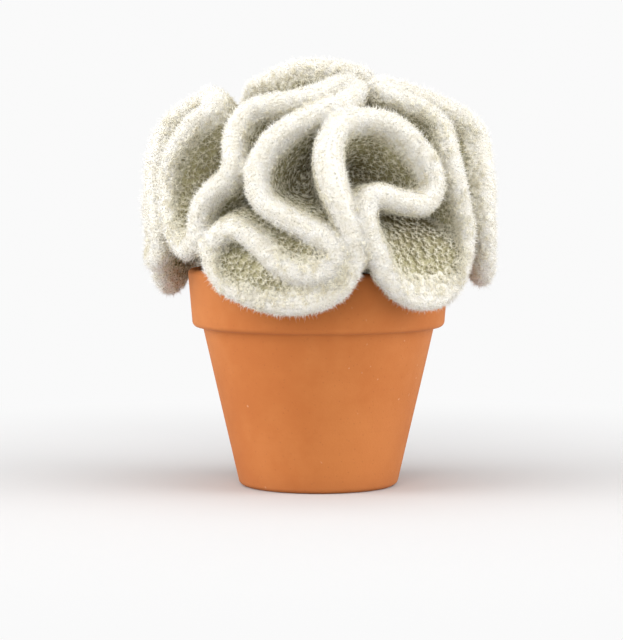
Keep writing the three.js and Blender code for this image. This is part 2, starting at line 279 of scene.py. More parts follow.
def joined(parts):
    """Points and faces of several (points, faces) parts as one."""
    points, faces, start = [], [], 0
    for part_points, part_faces in parts:
        points.append(part_points)
        faces.append(np.asarray(part_faces) + start)
        start += len(part_points)
    return np.concatenate(points), np.concatenate(faces)


def rounded(profile, reach, steps=4):
    """The profile with each corner eased over that reach, by a short curve. It is a closed loop."""
    profile = np.asarray(profile, float)
    out = []
    for before, here, after in zip(np.roll(profile, 1, 0), profile, np.roll(profile, -1, 0)):
        back, on = before - here, after - here
        start = here + unit(back) * min(reach, np.linalg.norm(back) * 0.45)
        end = here + unit(on) * min(reach, np.linalg.norm(on) * 0.45)
        for t in np.linspace(0, 1, steps):
            out.append((1 - t) ** 2 * start + 2 * t * (1 - t) * here + t * t * end)
    return np.array(out)


def with_longest(profile, longest):
    """The closed profile with long stretches cut up, so that no step is longer than this."""
    out = []
    for here, after in zip(profile, np.roll(profile, -1, 0)):
        count = max(1, math.ceil(np.linalg.norm(after - here) / longest))
        for k in range(count):
            out.append(here + (after - here) * k / count)
    return np.array(out)


def spun(profile, sides):
    """The profile's points, (radius, height), turned about Z."""
    angles = np.linspace(0, 2 * np.pi, sides, endpoint=False)
    radius, height = np.asarray(profile, float).T
    points = [np.outer(np.cos(angles), radius), np.outer(np.sin(angles), radius)]
    return np.stack([*points, np.outer(np.ones(sides), height)], -1).reshape(-1, 3)


def closed_grid(count, rows):
    """Four-cornered faces of a grid that closes on itself both ways."""
    at, row = np.meshgrid(np.arange(count), np.arange(rows), indexing="ij")
    next_at, next_row = (at + 1) % count, (row + 1) % rows
    corners = ((at, row), (next_at, row), (next_at, next_row), (at, next_row))
    return np.stack([a * rows + r for a, r in corners], -1).reshape(-1, 4)


def turned(profile, sides):
    """A ring-shaped body of revolution about Z from a closed profile of (radius, height)."""
    return spun(profile, sides), closed_grid(sides, len(profile))


def capped(profile, sides):
    """A solid body of revolution about Z, in triangles. The profile starts and ends on the axis."""
    rows = len(profile) - 2
    ring = spun(profile[1:-1], sides)
    points = np.concatenate([ring, [[0, 0, profile[0][1]], [0, 0, profile[-1][1]]]])
    low, high = len(ring), len(ring) + 1
    faces = []
    for side in range(sides):
        here, there = side * rows, (side + 1) % sides * rows
        faces.append((low, there, here))
        faces.append((high, here + rows - 1, there + rows - 1))
        for row in range(rows - 1):
            faces.append((here + row, there + row, there + row + 1))
            faces.append((here + row, there + row + 1, here + row + 1))
    return points, faces


# The crest and its folds

def signed_power(value, power):
    return np.sign(value) * np.abs(value) ** power


def on_mound(around, down, out):
    a, p = np.radians(around), np.radians(down)
    rise = np.where(down <= 90, MOUND_UP, MOUND_DOWN)
    radius = MOUND_RADIUS * np.sin(p) ** MOUND_FULLNESS
    height = rise * signed_power(np.cos(p), MOUND_FULLNESS)
    points = np.stack([radius * np.sin(a), -radius * np.cos(a), height], -1)
    length = np.linalg.norm(points, axis=-1, keepdims=True)
    return points * (length + out[:, None]) / length + [0, 0, MOUND_HEIGHT]


def down_angle(points):
    above = points[:, 2] - MOUND_HEIGHT
    rise = np.where(above >= 0, MOUND_UP, MOUND_DOWN)
    flat = (np.hypot(points[:, 0], points[:, 1]) / MOUND_RADIUS) ** (1 / MOUND_FULLNESS)
    return np.degrees(np.arctan2(flat, signed_power(above / rise, 1 / MOUND_FULLNESS)))


def closed_curve(points, steps):
    """A centripetal curve once round through the points, with so many steps from each to the next."""
    p0, p1, p2, p3 = np.roll(points, 1, 0), points, np.roll(points, -1, 0), np.roll(points, -2, 0)
    d0, d1, d2 = (np.sqrt(np.linalg.norm(b - a, axis=1))[:, None] for a, b in ((p0, p1), (p1, p2), (p2, p3)))
    t1 = ((p1 - p0) / d0 - (p2 - p0) / (d0 + d1) + (p2 - p1) / d1) * d1
    t2 = ((p2 - p1) / d1 - (p3 - p1) / (d1 + d2) + (p3 - p2) / d2) * d1
    out = []
    for t in np.arange(steps) / steps:
        cubic = (2 * p1 - 2 * p2 + t1 + t2) * t ** 3 + (3 * p2 - 3 * p1 - 2 * t1 - t2) * t ** 2
        out.append(cubic + t1 * t + p1)
    return np.stack(out, 1).reshape(-1, 3)


def root_points(crest):
    """Where the folds grow from, for points along the crest that are kept as far apart as in the source."""
    kept, used = [0], 0.0
    steps = np.roll(crest, -1, 0) - crest
    lengths = np.linalg.norm(steps, axis=1)
    turns = np.degrees(np.arccos(np.clip((unit(steps) * unit(np.roll(steps, 1, 0))).sum(1), -1, 1)))
    for i in range(1, len(crest)):
        used += lengths[i - 1] / LONGEST_STEP + turns[i] / STEP_TURN
        if used >= 1:
            kept.append(i)
            used = 0.0
    points = crest[kept]
    evened = []
    for i in range(len(points)):
        near = points[(i + np.arange(-SMOOTHED_OVER, SMOOTHED_OVER + 1)) % len(points)]
        weight = np.exp(-(np.linalg.norm(near - points[i], axis=1) / FOLD_SMOOTHING) ** 2)
        evened.append((near * weight[:, None]).sum(0) / weight.sum())
    evened = np.array(evened)
    down = np.radians(np.minimum(down_angle(evened) * ROOT_SPREAD, ROOT_LOWEST))
    around = np.arctan2(evened[:, 0], -evened[:, 1])
    radius = (CORE_RADIUS - ROOT_SINK) * np.sin(down)
    height = CORE_HEIGHT + (CORE_UP - ROOT_SINK) * np.cos(down)
    return np.array(kept), np.stack([radius * np.sin(around), -radius * np.cos(around), height], -1)


def at_even_steps(loop, spacing, others, start=0.0):
    """Points every so often along a closed loop, and the others' values at the same places."""
    ends = np.concatenate([loop, loop[:1]])
    along = np.concatenate([[0], np.cumsum(np.linalg.norm(np.diff(ends, axis=0), axis=1))])
    count = max(3, int(along[-1] / spacing))
    places = (np.arange(count) + start) * along[-1] / count
    out = []
    for values in (loop, *others):
        closed = np.concatenate([values, values[:1]])
        out.append(np.stack([np.interp(places, along, closed[:, k]) for k in range(closed.shape[1])], -1))
    return out


class Folds:
    """The crest's middle surface: from each crest point a curve runs in to its root."""

    def __init__(self):
        rows = [(*entry, 0)[:3] for entry in CREST_LINE]
        crest = closed_curve(on_mound(*np.array(rows, float).T), CURVE_STEPS)
        kept, roots = root_points(crest)
        place = np.arange(len(crest))
        spread = np.concatenate([kept, [len(crest)]])
        roots = np.concatenate([roots, roots[:1]])
        roots = np.stack([np.interp(place, spread, roots[:, k]) for k in range(3)], -1)
        others = (roots, place[:, None] / CURVE_STEPS)
        self.tips, self.roots, number = at_even_steps(crest, CREST_SPACING, others)
        self.number = number[:, 0]
        share = np.clip((down_angle(self.tips) - DROOP_FROM) / (DROOP_FULL - DROOP_FROM), 0, 1)
        droop = (share * share * (3 - 2 * share))[:, None]
        outward = unit(self.tips * [1, 1, 0])
        self.bends = (self.tips + self.roots) / 2 + outward * DROOP_OUT * droop + [0, 0, DROOP_UP] * droop
        upper, lower = self.bends - self.tips, self.roots - self.bends
        self.lengths = np.linalg.norm(upper, axis=1) + np.linalg.norm(lower, axis=1)

    def middle(self, share):
        """Points of the middle surface at a share of the way from crest to root, and the inward direction."""
        share = np.broadcast_to(share, self.lengths.shape)[:, None]
        points = self.tips * (1 - share) ** 2 + self.bends * 2 * share * (1 - share) + self.roots * share ** 2
        inward = (self.bends - self.tips) * (1 - share) + (self.roots - self.bends) * share
        return points, unit(inward)

    def row(self, depth, half, side):
        """The row on one face of the fold, at a depth below the crest line, with the way out of that face."""
        points, inward = self.middle(np.clip(depth / self.lengths, 0, 1))
        along = unit(np.roll(points, -FRAME_REACH, 0) - np.roll(points, FRAME_REACH, 0))
        across = unit(np.cross(along, inward))
        broad = np.ones(len(points))
        for place, face, width, more in BROAD_CRESTS:
            broad += (side == face) * more * np.exp(-((self.number - place) / width) ** 2)
        return points + across * (half * side * broad)[:, None], across * side, inward


def half_width_at(share):
    """Half the thickness of a fold's wall at a share of the way down it."""
    return CREST_HALF_WIDTH + (ROOT_HALF_WIDTH - CREST_HALF_WIDTH) * max(0.0, share - 0.5) * 2


def fold_surface(folds):
    """The folds as one closed band, and for each of its points the depth, the crest place and the face."""
    down = []
    for turn in np.radians(CAP_TURNS):
        down.append((CREST_HALF_WIDTH * (1 - math.cos(turn)), CREST_HALF_WIDTH * math.sin(turn)))
    for k in range(1, WALL_ROWS + 1):
        share = k / WALL_ROWS
        down.append((CREST_HALF_WIDTH + (folds.lengths - CREST_HALF_WIDTH) * share, half_width_at(share)))
    left, right = ([folds.row(depth, half, side)[0] for depth, half in down] for side in (1, -1))
    points = np.stack([folds.middle(0.0)[0], *left, *right[::-1]], 1)
    count, rows = points.shape[:2]
    depths = [np.broadcast_to(depth, count) for depth, half in down]
    depths = np.stack([np.zeros(count), *depths, *depths[::-1]], 1)
    sides = np.tile([0] + [1] * len(down) + [-1] * len(down), count)
    places = np.stack([depths.ravel(), np.repeat(folds.number, rows), sides], -1)
    return points.reshape(-1, 3), closed_grid(count, rows), places


def core_profile():
    profile = [(0, NECK_FOOT), (NECK_RADIUS, NECK_FOOT), (NECK_RADIUS, SOIL_LEVEL + SOIL_GAP), *SWELL]
    for down in np.radians((80, 70, 60, 50, 40, 30, 20, 10, 0)):
        profile.append((CORE_RADIUS * math.sin(down), CORE_HEIGHT + CORE_UP * math.cos(down)))
    return profile


def inner_radius_at(height):
    if height <= COLLAR_FOOT:
        return body_radius_at(height) - BODY_WALL
    low = BODY_TOP_RADIUS - BODY_WALL
    return low + (RIM_RADIUS - RIM_WALL - low) * (height - COLLAR_FOOT) / (POT_HEIGHT - COLLAR_FOOT)


def body_radius_at(height):
    return FOOT_RADIUS + (BODY_TOP_RADIUS - FOOT_RADIUS) * height / COLLAR_FOOT


def rim_clearance(gap):
    """The outline of the pot's rim, grown by a gap."""
    low = COLLAR_FOOT - 8
    return [
        (inner_radius_at(low) - gap, low), (COLLAR_FOOT_RADIUS + gap, low),
        (RIM_RADIUS + gap, POT_HEIGHT - 1.6), (RIM_RADIUS - 0.5, POT_HEIGHT + 0.1),
        (RIM_RADIUS - 1.7, POT_HEIGHT + gap), (RIM_RADIUS - RIM_WALL + 0.9, POT_HEIGHT + gap),
        (inner_radius_at(POT_HEIGHT - 1) - gap, POT_HEIGHT - 0.8),
    ]


def inside_outline(points, outline):
    """Which of the points, seen as (radius, height), are inside a closed outline."""
    radius, height = np.hypot(points[:, 0], points[:, 1]), points[:, 2]
    inside = np.zeros(len(points), bool)
    for (r1, h1), (r2, h2) in zip(outline, outline[1:] + outline[:1]):
        if h1 == h2:
            continue
        crosses = ((h1 > height) != (h2 > height)) & (radius < (r2 - r1) * (height - h1) / (h2 - h1) + r1)
        inside ^= crosses
    return inside


def modified(piece, kind, **settings):
    """The piece's mesh as one modifier leaves it."""
    modifier = piece.modifiers.new(kind.title(), kind)
    for name, value in settings.items():
        setattr(modifier, name, value)
    graph = bpy.context.evaluated_depsgraph_get()
    mesh = bpy.data.meshes.new_from_object(piece.evaluated_get(graph))
    piece.modifiers.clear()
    return mesh


def evened(mesh, times):
    """The mesh's points, each moved part of the way to the middle of its neighbours."""
    points, edges = points_of(mesh), edges_of(mesh)
    count = np.bincount(edges.ravel(), minlength=len(points))[:, None]
    for _ in range(times):
        total = np.zeros_like(points)
        for k in range(3):
            total[:, k] += np.bincount(edges[:, 0], points[edges[:, 1], k], len(points))
            total[:, k] += np.bincount(edges[:, 1], points[edges[:, 0], k], len(points))
        points += (total / np.maximum(count, 1) - points) * 0.5
    mesh.vertices.foreach_set("co", (points * MM).astype(np.float32).ravel())
    mesh.update()


def largest_body(mesh):
    """Drops every loose scrap but the largest connected body."""
    edges, label = edges_of(mesh), np.arange(len(mesh.vertices))
    while True:
        low = np.minimum(label[edges[:, 0]], label[edges[:, 1]])
        new = label.copy()
        np.minimum.at(new, edges[:, 0], low)
        np.minimum.at(new, edges[:, 1], low)
        new = new[new]
        if (new == label).all():
            break
        label = new
    names, sizes = np.unique(label, return_counts=True)
    loose = np.flatnonzero(label != names[sizes.argmax()])
    if len(loose):
        editable = bmesh.new()
        editable.from_mesh(mesh)
        editable.verts.ensure_lookup_table()
        bmesh.ops.delete(editable, geom=[editable.verts[i] for i in loose], context="VERTS")
        editable.to_mesh(mesh)
        editable.free()


def cactus_body(folds, surface):
    """One closed body: the folds and the core grown together."""
    points, faces = surface
    triangles = np.concatenate([faces[:, [0, 1, 2]], faces[:, [0, 2, 3]]])
    core = capped(core_profile(), CORE_SIDES)
    rough = built("rough_body", *joined([(points, triangles), core]))
    grown = placed("cactus_body", modified(rough, "REMESH", mode="VOXEL", voxel_size=BODY_VOXEL * MM))
    evened(grown.data, BODY_SMOOTHING)
    bpy.data.objects.remove(rough)
    largest_body(grown.data)
    smooth_shaded(grown.data)
    return grown


# Areoles and spines

def areoles_on(folds):
    """Every areole's point, way out of the face, depth below the crest, place along it, and face."""
    rows = []
    reach = CREST_HALF_WIDTH * math.pi / 2
    steps = int(reach / CREST_ROWS)
    for k in range(-steps, steps + 1):
        turn = abs(k) * CREST_ROWS / CREST_HALF_WIDTH
        rows.append((CREST_HALF_WIDTH * (1 - math.cos(turn)), turn, 1 if k >= 0 else -1, CREST_AREOLES))
    depth, k = CREST_HALF_WIDTH + (steps + 1) * CREST_ROWS - reach, 0
    while depth < DEEPEST_AREOLE:
        share = min(1.0, k / 3)
        spacing = CREST_AREOLES + (WALL_AREOLES - CREST_AREOLES) * share
        rows += [(depth, math.pi / 2, side, spacing) for side in (1, -1)]
        depth += CREST_ROWS + (WALL_ROW_STEP - CREST_ROWS) * share
        k += 1
    out = []
    for k, (depth, turn, side, spacing) in enumerate(rows):
        half = CREST_HALF_WIDTH * math.sin(turn)
        points, across, inward = folds.row(depth, half, side)
        way = unit(across * math.sin(turn) - inward * math.cos(turn))
        place = np.stack([np.full(len(points), depth), folds.number, np.full(len(points), side)], -1)
        found = at_even_steps(points, spacing, (way, place, folds.lengths[:, None]), (k % 2) / 2)
        out.append(np.concatenate(found[:3], 1)[found[3][:, 0] > depth + 1])
    return np.concatenate([*out, core_areoles()])


def core_areoles():
    """The same for the flesh between the folds: rings up the swell and the dome."""
    profile = np.array(core_profile()[2:], float)
    along = np.concatenate([[0], np.cumsum(np.linalg.norm(np.diff(profile, axis=0), axis=1))])
    out = []
    for k, place in enumerate(np.arange(2.0, along[-1], WALL_ROW_STEP)):
        radius, height = (np.interp(place, along, profile[:, c]) for c in (0, 1))
        ahead = [np.interp(place + 0.5, along, profile[:, c]) for c in (0, 1)]
        slope = unit(np.array([ahead[1] - height, radius - ahead[0]]))
        count = max(3, int(2 * np.pi * radius / WALL_AREOLES))
        turn = (np.arange(count) + (k % 2) / 2) * 2 * np.pi / count
        around = np.stack([np.cos(turn), np.sin(turn), np.zeros(count)], -1)
        way = around * slope[0] + [0, 0, slope[1]]
        depth = np.tile([CORE_DEPTH, 0, 0], (count, 1))
        out.append(np.concatenate([around * radius + [0, 0, height], way, depth], 1))
    return np.concatenate(out)


def settled(areoles, body, places):
    """The areoles that come out on the body's surface, set onto it, with the body's own normal."""
    tree = BVHTree.FromObject(body, bpy.context.evaluated_depsgraph_get())
    stray = AREOLE_JITTER * np.clip(areoles[:, 6:7] / JITTER_DEPTH, *JITTER_SHARES)
    strayed = areoles[:, :3] + random.uniform(-1, 1, (len(areoles), 3)) * stray
    out = []
    for row, at in zip(areoles, strayed):
        near, normal = tree.find_nearest(Vector(at) * MM, SETTLE_REACH * MM)[:2]
        if near is None or normal.dot(Vector(row[3:6])) < SETTLE_FACING:
            continue
        out.append((*(near / MM), *normal, *row[6:]))
    out = np.concatenate([out, bare_patches(np.array(out), body, places)])
    keep = above_soil(out, LOWEST_AREOLE) & in_the_open(tree, out)
    return out[keep & ~inside_outline(out[:, :3], rim_clearance(RIM_TO_AREOLE))]


def above_soil(points, gap):
    """Which of the points are that far above the soil, or outside the pot."""
    return (points[:, 2] > SOIL_LEVEL + gap) | (np.hypot(points[:, 0], points[:, 1]) > RIM_RADIUS)


def tree_of(points):
    tree = KDTree(len(points))
    for i, point in enumerate(points):
        tree.insert(Vector(point), i)
    tree.balance()
    return tree


def bare_patches(areoles, body, places):
    """Further areoles wherever the body's surface has none near by."""
    tree = tree_of(areoles[:, :3])
    points, normals = points_of(body.data), values_of(body.data.vertices, "normal", 3).astype(float)
    taken, out = {}, []
    for i in random.permutation(len(points)):
        at = points[i]
        bare = BARE_ON_CREST if places[i][0] < WHITE_REACH + 2 else BARE_ON_WALL
        if at[2] < SOIL_LEVEL + 2 or tree.find(Vector(at))[2] < bare:
            continue
        cell = (at // BARE_ON_WALL).astype(int)
        near = [other for step in np.ndindex(3, 3, 3) for other in taken.get(tuple(cell + step - 1), [])]
        if any(np.linalg.norm(other - at) < bare for other in near):
            continue
        taken.setdefault(tuple(cell), []).append(at)
        out.append((*at, *normals[i], *places[i]))
    return np.array(out).reshape(-1, 9)


def in_the_open(tree, areoles):
    """Which areoles have at least one way out that is free of the plant itself."""
    free = np.zeros(len(areoles), bool)
    across, other = tangents(areoles[:, 3:6])
    for lean, turn in [(0, 0)] + [(0.8, k * math.pi / 3) for k in range(6)]:
        ways = unit(areoles[:, 3:6] + lean * sideways(across, other, turn))
        for i in np.flatnonzero(~free):
            start = Vector(areoles[i, :3] + areoles[i, 3:6] * 0.3) * MM
            free[i] = tree.ray_cast(start, Vector(ways[i]), OPEN_REACH * MM)[0] is None
    return free


def tangents(normals):
    pick = np.where(np.abs(normals[:, 2:]) < 0.8, [[0.0, 0.0, 1.0]], [[1.0, 0.0, 0.0]])
    across = unit(np.cross(normals, pick))
    return across, np.cross(normals, across)


def sideways(across, other, turn):
    return across * np.cos(turn) + other * np.sin(turn)


def needles(bases, ways, lengths, widths):
    """Closed three-sided needles, whose feet are sunk into the flesh."""
    across, other = tangents(ways)
    feet = bases - ways * SPINE_SINK
    corners = []
    for turn in (0, 2 * np.pi / 3, 4 * np.pi / 3):
        corners.append(feet + sideways(across, other, turn) * (widths[:, None] * 0.58))
    points = np.stack([*corners, bases + ways * lengths[:, None]], 1)
    start = np.arange(len(bases))[:, None, None] * 4
    faces = start + np.array([(0, 1, 2), (0, 3, 1), (1, 3, 2), (2, 3, 0)])
    return points.reshape(-1, 3), faces.reshape(-1, 3)


def tubercles(areoles):
    """Blunt closed cones that carry the areoles on the folds' faces, with their feet sunk into the flesh."""
    across, other = tangents(areoles[:, 3:6])
    count, normals = len(areoles), areoles[:, 3:6]
    turn = random.uniform(0, 2 * np.pi, count)
    size = random.uniform(*SIZE_VARIES, count)[:, None]
    ring = []
    for k in range(TUBERCLE_SIDES):
        a = (turn + 2 * np.pi * k / TUBERCLE_SIDES)[:, None]
        out = sideways(across, other, a) * TUBERCLE_RADIUS * size
        ring.append(areoles[:, :3] - normals * TUBERCLE_SINK + out)
    tip = areoles[:, :3] + normals * TUBERCLE_HEIGHT * size
    points = np.stack([*ring, tip], 1).reshape(-1, 3)
    sides = [(k, (k + 1) % TUBERCLE_SIDES, TUBERCLE_SIDES) for k in range(TUBERCLE_SIDES)]
    foot = [(0, k + 1, k) for k in range(1, TUBERCLE_SIDES - 1)]
    faces = np.arange(count)[:, None, None] * (TUBERCLE_SIDES + 1) + np.array(sides + foot)
    return points, faces.reshape(-1, 3)


def star_spines(areoles, each, length, width, lift, spread):
    """A star of needles at every areole. Lift is how far they stand up off the skin, in degrees."""
    count = len(areoles)
    which, order = np.repeat(np.arange(count), each), np.tile(np.arange(each), count)
    turn = random.uniform(0, 2 * np.pi, count)[which]
    turn += (order + random.uniform(-TURN_VARIES, TURN_VARIES, len(which))) * 2 * np.pi / each
    rise = np.radians(np.clip(random.normal(lift, spread, len(which)), *LIFT_LIMITS))
    normals = areoles[which, 3:6]
    across, other = tangents(normals)
    flat = sideways(across, other, turn[:, None])
    ways = flat * np.cos(rise)[:, None] + normals * np.sin(rise)[:, None]
    sizes = length * random.uniform(*LENGTH_VARIES, count)
    lengths = sizes[which] * random.uniform(*LENGTH_VARIES, len(which))
    widths = width * random.uniform(*SIZE_VARIES, len(which))
    bases = areoles[which, :3] + flat * SPINE_FOOT_OUT
    tips = bases + ways * lengths[:, None]
    clear = above_soil(tips, 0)
    for points, gap in ((tips, RIM_TO_TIP), (bases, RIM_TO_FOOT)):
        clear &= ~inside_outline(points, rim_clearance(gap))
    return bases[clear], ways[clear], lengths[clear], widths[clear]


# Materials

class Recipe:
    """A node tree being put together."""

    def __init__(self, tree):
        self.tree = tree

    def node(self, kind, settings=None, **inputs):
        made = self.tree.nodes.new("ShaderNode" + kind)
        for name, value in (settings or {}).items():
            setattr(made, name, value)
        for name, value in inputs.items():
            self.set(made, name.replace("_", " "), value)
        return made

    def set(self, node, name, value):
        if isinstance(value, bpy.types.NodeSocket):
            self.tree.links.new(value, node.inputs[name])
        else:
            node.inputs[name].default_value = value

    def numbered(self, kind, settings, values, sockets=None):
        """A node whose inputs share a name, filled by their numbers."""
        made = self.node(kind, settings)
        for socket, value in zip(sockets or range(len(values)), values):
            self.set(made, socket, value)
        return made.outputs

    def math(self, operation, a, b):
        return self.numbered("Math", {"operation": operation}, (a, b))[0]

    def blend(self, share, a, b):
        return self.numbered("Mix", {"data_type": "RGBA"}, (share, a, b), (0, 6, 7))[2]

    def mixed(self, share, a, b):
        return self.numbered("MixShader", None, (share, a.outputs[0], b.outputs[0]))[0]

    def between(self, value, low, high, to_low=0.0, to_high=1.0):
        settings = {"interpolation_type": "SMOOTHSTEP"}
        return self.numbered("MapRange", settings, (value, low, high, to_low, to_high))[0]

    def noise(self, place, scale, detail=3.0, roughness=0.55):
        values = {"Vector": place, "Scale": scale, "Detail": detail, "Roughness": roughness}
        return self.node("TexNoise", **values).outputs["Fac"]

    def group(self, tree, **inputs):
        return self.node("Group", {"node_tree": tree}, **inputs).outputs


def group_of(name, inputs, outputs):
    tree = bpy.data.node_groups.new(name, "ShaderNodeTree")
    for label, kind, value in inputs:
        socket = tree.interface.new_socket(label, in_out="INPUT", socket_type="NodeSocket" + kind)
        if value is not None:
            socket.default_value = value
    for label, kind in outputs:
        tree.interface.new_socket(label, in_out="OUTPUT", socket_type="NodeSocket" + kind)
    recipe = Recipe(tree)
    return tree, recipe, tree.nodes.new("NodeGroupInput").outputs, tree.nodes.new("NodeGroupOutput")


def mottle_group():
    """Broad soft patches of a darker and a lighter tone, with a finer mottling inside them."""
    tree, recipe, given, result = group_of(
        "soft_mottle",
        [("Place", "Vector", None), ("Scale", "Float", 40.0), ("Dark", "Color", None),
         ("Light", "Color", None), ("Fine share", "Float", 0.35)],
        [("Color", "Color"), ("Patch", "Float")],
    )
    broad = recipe.noise(given["Place"], given["Scale"], 3.0)
    fine = recipe.noise(given["Place"], recipe.math("MULTIPLY", given["Scale"], 7.0), 4.0, 0.65)
    broad = recipe.math("MULTIPLY", broad, recipe.math("SUBTRACT", 1.0, given["Fine share"]))
    both = recipe.math("ADD", broad, recipe.math("MULTIPLY", fine, given["Fine share"]))
    patch = recipe.between(both, 0.33, 0.67)
    recipe.set(result, "Color", recipe.blend(patch, given["Dark"], given["Light"]))
    recipe.set(result, "Patch", patch)
    return tree


def grain_group():
    """Fine sand grain and scattered pits, as a height."""
    tree, recipe, given, result = group_of(
        "sand_grain",
        [("Place", "Vector", None), ("Scale", "Float", 900.0), ("Pits", "Float", 0.5)],
        [("Height", "Float"), ("Pit mask", "Float")],
    )
    grain = recipe.noise(given["Place"], given["Scale"], 4.0, 0.7)
    cells = recipe.node("TexVoronoi", Vector=given["Place"],
                        Scale=recipe.math("MULTIPLY", given["Scale"], 0.35)).outputs["Distance"]
    pits = recipe.between(cells, 0.05, 0.2, 1.0, 0.0)
    sunk = recipe.math("MULTIPLY", pits, given["Pits"])
    recipe.set(result, "Height", recipe.math("SUBTRACT", grain, sunk))
    recipe.set(result, "Pit mask", pits)
    return tree


def new_material(name):
    material = bpy.data.materials.new(name)
    material.use_nodes = True
    tree = material.node_tree
    place = tree.nodes.new("ShaderNodeTexCoord").outputs["Object"]
    return material, Recipe(tree), tree.nodes["Principled BSDF"], place


def surfaced(recipe, shader, color, roughness):
    recipe.set(shader, "Base Color", color)
    recipe.set(shader, "Roughness", roughness)


def bumped(recipe, shader, height, strength, distance):
    bump = recipe.node("Bump", Strength=strength, Distance=distance, Height=height)
    recipe.set(shader, "Normal", bump.outputs[0])


def clay_material(mottle, grain):
    material, recipe, shader, place = new_material("terracotta_clay")
    fired = recipe.group(mottle, Place=place, Scale=16.0, Dark=CLAY_DARK, Light=CLAY_LIGHT, Fine_share=0.25)
    sand = recipe.group(grain, Place=place, Scale=1100.0, Pits=0.35)
    turned_place = recipe.node("Mapping", Vector=place, Scale=(6.0, 6.0, 420.0)).outputs[0]
    rings = recipe.noise(turned_place, 1.0, 2.0)
    height = recipe.node("SeparateXYZ", Vector=place).outputs["Z"]
    # painted shade: the clay is darker towards the pot's foot, where it meets the floor
    foot_shade = recipe.between(height, 0.0, 0.012, 0.16, 0.0)
    flecks = recipe.between(recipe.noise(place, 300.0, 1.0), 0.76, 0.81, 0.0, 0.5)
    color = recipe.blend(recipe.between(rings, 0.35, 0.7, 0.0, 0.12), fired["Color"], CLAY_DARK)
    color = recipe.blend(foot_shade, color, CLAY_SHADE)
    color = recipe.blend(flecks, color, CLAY_LIME)
    # painted shade darkens the clay inside the sand pits
    color = recipe.blend(recipe.math("MULTIPLY", sand["Pit mask"], 0.25), color, CLAY_SHADE)
    surfaced(recipe, shader, color, recipe.between(fired["Patch"], 0.0, 1.0, 0.86, 0.74))
    recipe.set(shader, "Specular IOR Level", 0.55)
    ringed = recipe.math("ADD", sand["Height"], recipe.math("MULTIPLY", rings, 0.6))
    bumped(recipe, shader, ringed, 0.35, 0.00025)
    return material


def soil_material(mottle, grain):
    material, recipe, shader, place = new_material("potting_soil")
    crumbs = recipe.group(mottle, Place=place, Scale=120.0, Dark=SOIL_DARK, Light=SOIL_LIGHT, Fine_share=0.6)
    sand = recipe.group(grain, Place=place, Scale=500.0, Pits=0.8)
    surfaced(recipe, shader, crumbs["Color"], recipe.between(crumbs["Patch"], 0.0, 1.0, 0.97, 0.85))
    bumped(recipe, shader, sand["Height"], 0.8, 0.0008)
    return material


def grit_material(grain):
    material, recipe, shader, place = new_material("soil_grit")
    sand = recipe.group(grain, Place=place, Scale=700.0, Pits=0.6)
    tone = recipe.between(recipe.noise(place, 90.0, 0.0), 0.4, 0.6)
    rough = recipe.between(sand["Height"], 0.0, 1.0, 0.95, 0.75)
    surfaced(recipe, shader, recipe.blend(tone, GRIT_DARK, GRIT_LIGHT), rough)
    bumped(recipe, shader, sand["Height"], 0.6, 0.0004)
    return material


def skin_material(mottle, grain):
    """Grey olive skin down in the valleys, darkened further down by painted shade, and white wool up by the
    crest line.
    """
    material, recipe, shader, place = new_material("cactus_skin")
    white = recipe.node("Attribute", {"attribute_name": "white_share"}).outputs["Fac"]
    depth = recipe.node("Attribute", {"attribute_name": "valley_shade_share"}).outputs["Fac"]
    flesh = recipe.group(mottle, Place=place, Scale=170.0, Dark=SKIN_DARK, Light=SKIN_LIGHT, Fine_share=0.5)
    wool = recipe.group(mottle, Place=place, Scale=260.0, Dark=WOOL_SHADE, Light=WOOL_WHITE, Fine_share=0.6)
    sand = recipe.group(grain, Place=place, Scale=1500.0, Pits=0.2)
    # painted shade: the flesh darkens with depth below the crest, down in the valleys
    valley_shade = recipe.blend(depth, flesh["Color"], SKIN_VALLEY_SHADE)
    speckle = recipe.math("SUBTRACT", recipe.noise(place, 420.0, 2.0), 0.5)
    ragged = recipe.math("ADD", white, recipe.math("MULTIPLY", speckle, 0.9))
    color = recipe.blend(recipe.between(ragged, 0.2, 0.8), valley_shade, wool["Color"])
    surfaced(recipe, shader, color, recipe.between(white, 0.0, 1.0, 0.62, 0.9))
    bumped(recipe, shader, sand["Height"], 0.5, 0.0003)
    return material


def spine_material(name, light, cream):
    material, recipe, shader, place = new_material(name)
    tone = recipe.between(recipe.noise(place, 300.0, 2.0), 0.35, 0.65)
    surfaced(recipe, shader, recipe.blend(tone, cream, light), recipe.between(tone, 0.0, 1.0, 0.6, 0.5))
    recipe.set(shader, "Sheen Weight", 0.15)
    return material


def shade(red, green, blue):
    """A colour as seen, 0 to 255, turned into the value that the shader takes."""
    values = [v / 255 for v in (red, green, blue)]
    return (*[v / 12.92 if v <= 0.04045 else ((v + 0.055) / 1.055) ** 2.4 for v in values], 1.0)


CLAY_LIGHT = shade(190, 113, 49)
CLAY_DARK = shade(179, 101, 41)
# painted shade, for the clay towards the pot's foot and in the sand pits
CLAY_SHADE = shade(138, 73, 34)
CLAY_LIME = shade(206, 160, 122)
SOIL_DARK = shade(38, 27, 20)
SOIL_LIGHT = shade(78, 56, 40)
GRIT_DARK = shade(96, 84, 72)
GRIT_LIGHT = shade(205, 198, 186)
SKIN_DARK = shade(132, 126, 89)
SKIN_LIGHT = shade(186, 179, 143)
# painted shade for the skin deep in the valleys between the folds
SKIN_VALLEY_SHADE = shade(108, 97, 62)
WOOL_SHADE = shade(230, 225, 212)
WOOL_WHITE = shade(250, 248, 241)
CREST_SPINE_TONES = (shade(253, 251, 247), shade(243, 238, 225))
WALL_SPINE_TONES = (shade(244, 239, 220), shade(221, 213, 188))
FLOOR_TONE = shade(203, 202, 202)
FLOOR_LIGHT = shade(208, 208, 208)


# Camera, light and floor

